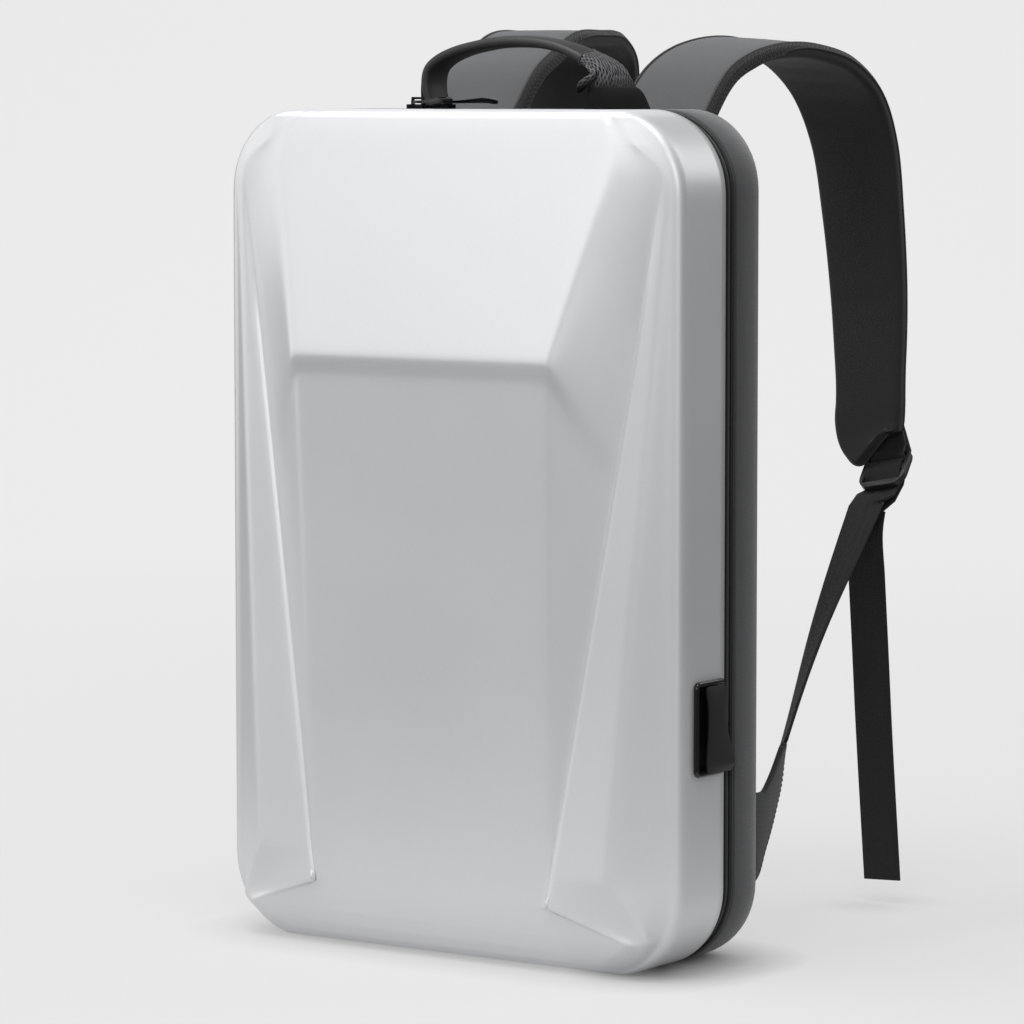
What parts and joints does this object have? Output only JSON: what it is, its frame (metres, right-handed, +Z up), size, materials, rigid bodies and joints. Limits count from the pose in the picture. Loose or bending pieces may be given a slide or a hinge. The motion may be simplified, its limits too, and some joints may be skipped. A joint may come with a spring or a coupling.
{
  "type": "laptop backpack",
  "caption": "Upright laptop backpack: hard faceted front shell, soft padded back, zip all round, side charging port, carry handle and padded shoulder straps with webbing tails.",
  "frame": {"origin": "on the floor, in the middle of the shell's flat underside", "axes": "+X to the right seen from the front, +Y towards the back panel and straps, +Z up"},
  "size_m": [0.3078, 0.3263, 0.5069],
  "materials": {
    "shell_plastic": "satin",
    "zip_fabric": "matte",
    "zip_metal": "gloss",
    "back_fabric": "matte",
    "handle_leather": "satin",
    "mesh_fabric": "matte",
    "strap_fabric": "matte",
    "strap_grey": "matte",
    "webbing": "matte",
    "buckle_plastic": "satin",
    "port_plastic": "gloss",
    "port_rubber": "matte"
  },
  "bodies": {
    "bag": {"front_shell": "shell_plastic", "zip_tape": "zip_fabric", "zip_coil": "zip_fabric", "back_piping": "zip_fabric", "back_panel": "back_fabric", "handle_grip": "handle_leather", "handle_gusset_right": "mesh_fabric", "handle_gusset_left": "mesh_fabric", "zip_slider_left": "zip_metal", "zip_slider_right": "zip_metal", "usb_frame": "port_plastic", "usb_cover": "port_rubber", "strap_pad_right": "strap_fabric", "strap_pad_left": "strap_fabric", "strap_facing_right": "strap_grey", "strap_facing_left": "strap_grey", "ladder_lock_right": "buckle_plastic", "ladder_lock_left": "buckle_plastic", "buckle_loop_right": "webbing", "buckle_loop_left": "webbing", "strap_webbing_right": "webbing", "strap_webbing_left": "webbing", "strap_gusset_right": "back_fabric", "strap_gusset_left": "back_fabric"},
    "pull_left": {"zip_pull_left": "zip_metal"},
    "pull_right": {"zip_pull_right": "zip_metal"}
  },
  "joints": [
    {"name": "zip_pull_left_turn", "type": "hinge", "parent": "bag", "child": "pull_left", "pos_m": [-0.054, 0.0221, 0.4638], "axis": [-0.4067, -0.9136, 0], "range_deg": [0, 100]},
    {"name": "zip_pull_right_turn", "type": "hinge", "parent": "bag", "child": "pull_right", "pos_m": [-0.036, 0.0221, 0.4638], "axis": [0, -1, 0], "range_deg": [0, 90]}
  ]
}
